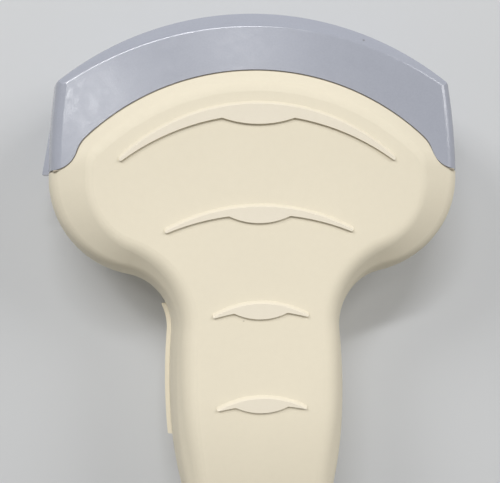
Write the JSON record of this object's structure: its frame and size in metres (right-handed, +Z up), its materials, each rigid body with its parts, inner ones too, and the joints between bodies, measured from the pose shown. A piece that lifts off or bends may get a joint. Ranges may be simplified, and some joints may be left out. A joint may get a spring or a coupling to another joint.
{
  "type": "curved array ultrasound transducer probe",
  "caption": "Hand-held curved-array ultrasound probe: cream handle with grip ridges, blue-grey nosepiece and a convex acoustic lens.",
  "frame": {"origin": "on the resting plane, under the middle of the second grip ridge of the rear housing half", "axes": "+Y along the probe towards the lens, +X across it to the right seen from the front face, +Z up out of the front face; the probe lies on its back"},
  "size_m": [0.0812, 0.1099, 0.0291],
  "materials": {
    "housing": "fine matte cream moulding",
    "nose": "satin gloss blue-grey moulding",
    "seal": "dark silicone",
    "lens": "smooth blue-grey silicone",
    "matching": "cast epoxy",
    "matching_filled": "filled epoxy",
    "foil": "rolled copper foil",
    "piezo": "sintered piezoceramic",
    "flex": "polyimide film with copper tracks",
    "backing": "filled damping rubber",
    "carrier": "machined aluminium",
    "screws": "stainless steel",
    "board": "solder-masked laminate",
    "connector": "moulded connector",
    "chips": "moulded package",
    "shield": "tinned sheet",
    "brass": "turned brass",
    "gland": "soft moulded bush",
    "clamp": "nickel-plated brass"
  },
  "bodies": {
    "root": {"front_shell": "housing", "rear_shell": "housing", "nosepiece": "nose", "nose_seal": "seal", "acoustic_lens": "lens", "outer_matching_layer": "matching", "inner_matching_layer": "matching_filled", "ground_foil": "foil", "piezo_elements": "piezo", "flex_circuit": "flex", "backing_block": "backing", "array_carrier": "carrier", "carrier_screws": "screws", "chassis": "carrier", "chassis_screws": "screws", "front_board": "board", "rear_board": "board", "front_connector": "connector", "rear_connector": "connector", "front_chips": "chips", "rear_chips": "chips", "front_shield": "shield", "rear_shield": "shield", "board_spacers": "brass", "board_bolts": "screws", "board_nuts": "screws", "cable_gland": "gland", "cable_clamp": "clamp", "clamp_screws": "screws"}
  },
  "joints": []
}
